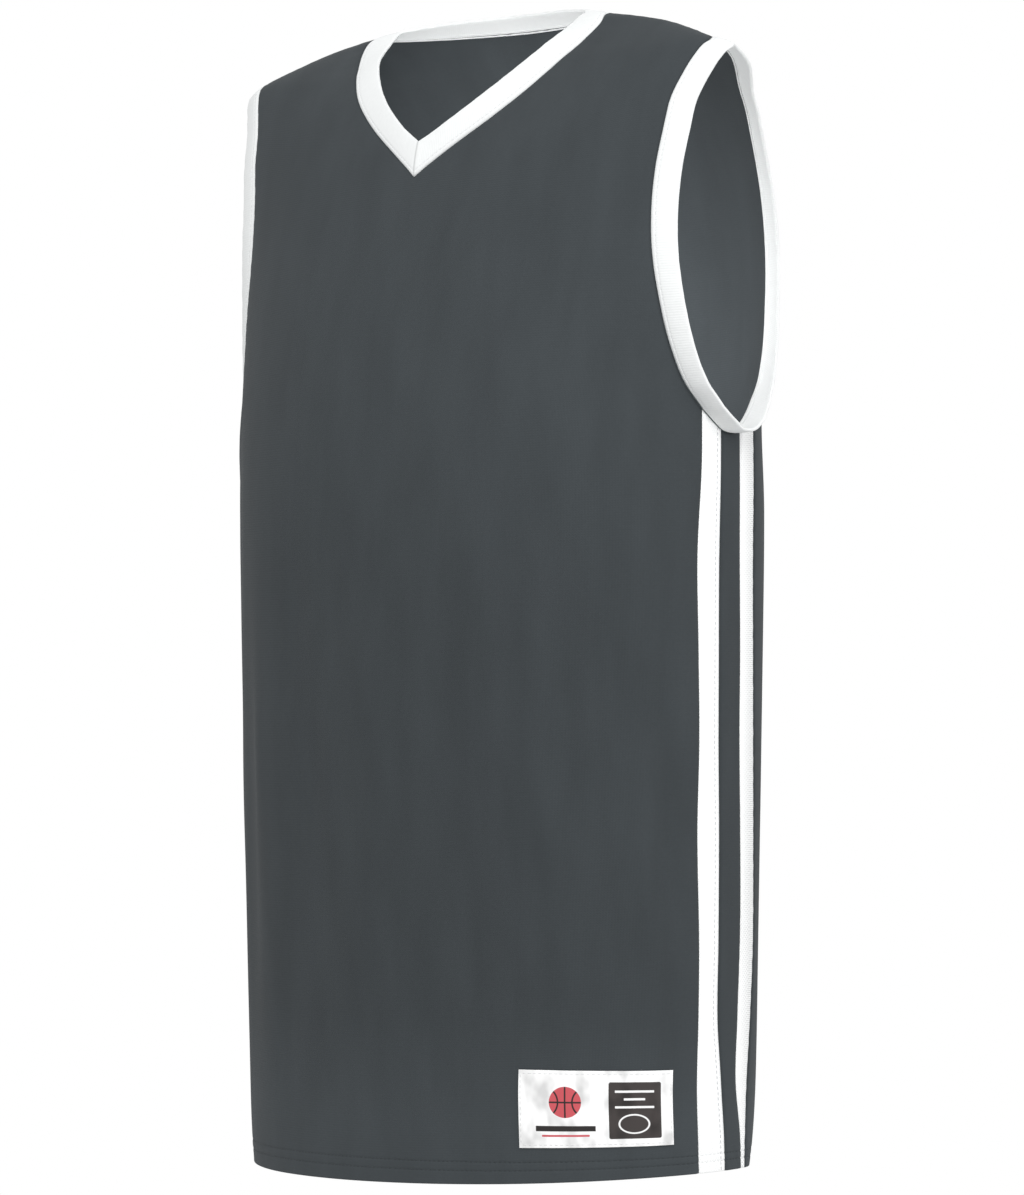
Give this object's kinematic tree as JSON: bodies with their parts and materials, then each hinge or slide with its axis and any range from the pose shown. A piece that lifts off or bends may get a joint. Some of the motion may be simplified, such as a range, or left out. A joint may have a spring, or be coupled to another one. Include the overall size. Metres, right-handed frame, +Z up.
{
  "type": "basketball jersey",
  "caption": "Sleeveless V-neck basketball jersey in charcoal, holding its worn hollow form, with white bands round the neck and armholes, striped sides and a plain hem label.",
  "frame": {"origin": "midway between the shoulders, level with the points where the neck seam crosses them, where the wearer's shoulders carry the jersey", "axes": "+Z up from hem to shoulders, -Y towards the front of the jersey, +X towards the wearer's left"},
  "size_m": [0.416, 0.2625, 0.7828],
  "materials": {
    "charcoal_knit": "matte charcoal polyester knit",
    "white_mesh": "matte white micro-mesh knit",
    "white_rib": "matte white rib knit",
    "label_satin": "white satin with a slight sheen"
  },
  "bodies": {
    "root": {"front_panel": "charcoal_knit", "back_panel": "charcoal_knit", "neck_band": "white_rib", "left_arm_band": "white_rib", "left_front_strip": "white_mesh", "left_middle_strip": "charcoal_knit", "left_rear_strip": "white_mesh", "right_arm_band": "white_rib", "right_front_strip": "white_mesh", "right_middle_strip": "charcoal_knit", "right_rear_strip": "white_mesh", "hem_label": "label_satin"}
  },
  "joints": []
}
